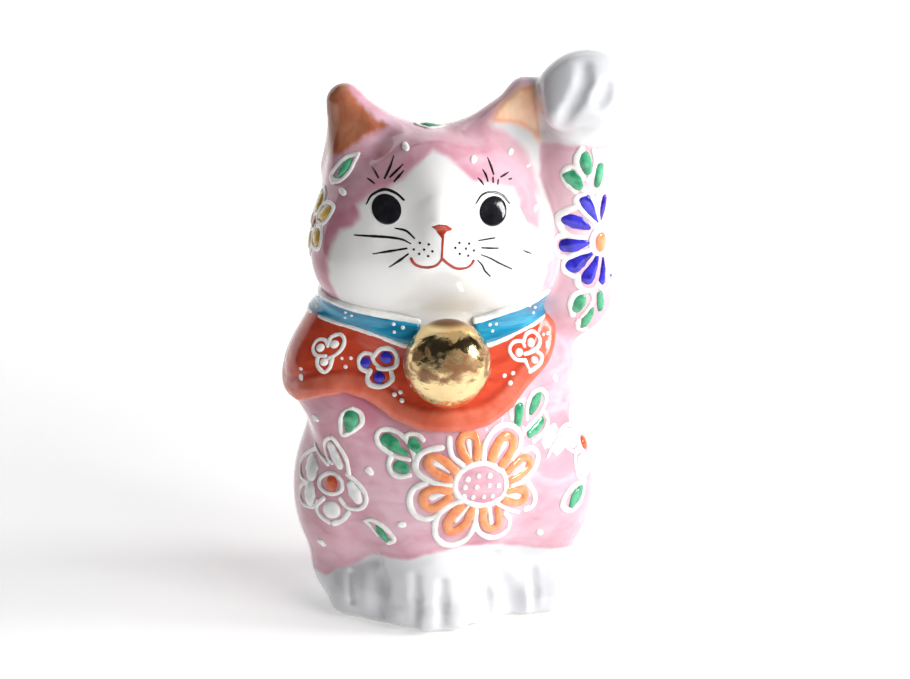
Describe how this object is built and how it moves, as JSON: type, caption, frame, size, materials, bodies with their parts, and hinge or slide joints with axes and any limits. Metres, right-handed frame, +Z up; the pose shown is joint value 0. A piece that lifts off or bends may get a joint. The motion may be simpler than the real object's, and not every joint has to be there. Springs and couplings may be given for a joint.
{
  "type": "beckoning cat figurine",
  "caption": "Seated glazed porcelain cat with one raised paw, a round bell on a collar, a bib and raised enamel flowers; hollow cast.",
  "frame": {"origin": "middle of the underside of the figurine's own box, on the surface it stands on", "axes": "+Z up through the raised paw, the cat faces -Y, +X towards the cat's own left, the side of the raised paw"},
  "size_m": [0.0822, 0.0722, 0.135],
  "materials": {
    "pink_glaze": "glossy pink wash under clear glaze",
    "white_glaze": "glossy white glaze",
    "gold_lustre": "mirror-bright fired gold lustre",
    "turquoise_enamel": "glossy opaque enamel",
    "red_enamel": "glossy opaque enamel",
    "orange_enamel": "glossy raised enamel",
    "green_enamel": "glossy raised enamel",
    "blue_enamel": "glossy raised enamel",
    "yellow_enamel": "glossy raised enamel",
    "white_enamel": "glossy raised enamel"
  },
  "bodies": {
    "root": {"body_casting": "pink_glaze", "head_casting": "white_glaze", "ear_right": "pink_glaze", "ear_left": "pink_glaze", "raised_arm": "pink_glaze", "tail": "pink_glaze", "bell": "gold_lustre", "collar": "turquoise_enamel", "bib": "red_enamel", "flower_front": "orange_enamel", "sprig_right": "green_enamel", "sprig_left": "green_enamel", "leaf_chest": "green_enamel", "leaf_foreleg": "green_enamel", "leaf_haunch": "green_enamel", "flower_haunch_right": "white_enamel", "flower_haunch_left": "white_enamel", "flower_back": "orange_enamel", "leaf_back_right": "green_enamel", "leaf_back_left": "green_enamel", "trefoil_blue": "blue_enamel", "trefoil_right": "white_enamel", "trefoil_left": "white_enamel", "leaf_brow": "green_enamel", "leaf_crown": "green_enamel", "flower_temple": "yellow_enamel", "flower_nape": "yellow_enamel", "flower_arm": "blue_enamel", "sprig_arm_upper": "green_enamel", "sprig_arm_lower": "green_enamel"}
  },
  "joints": []
}
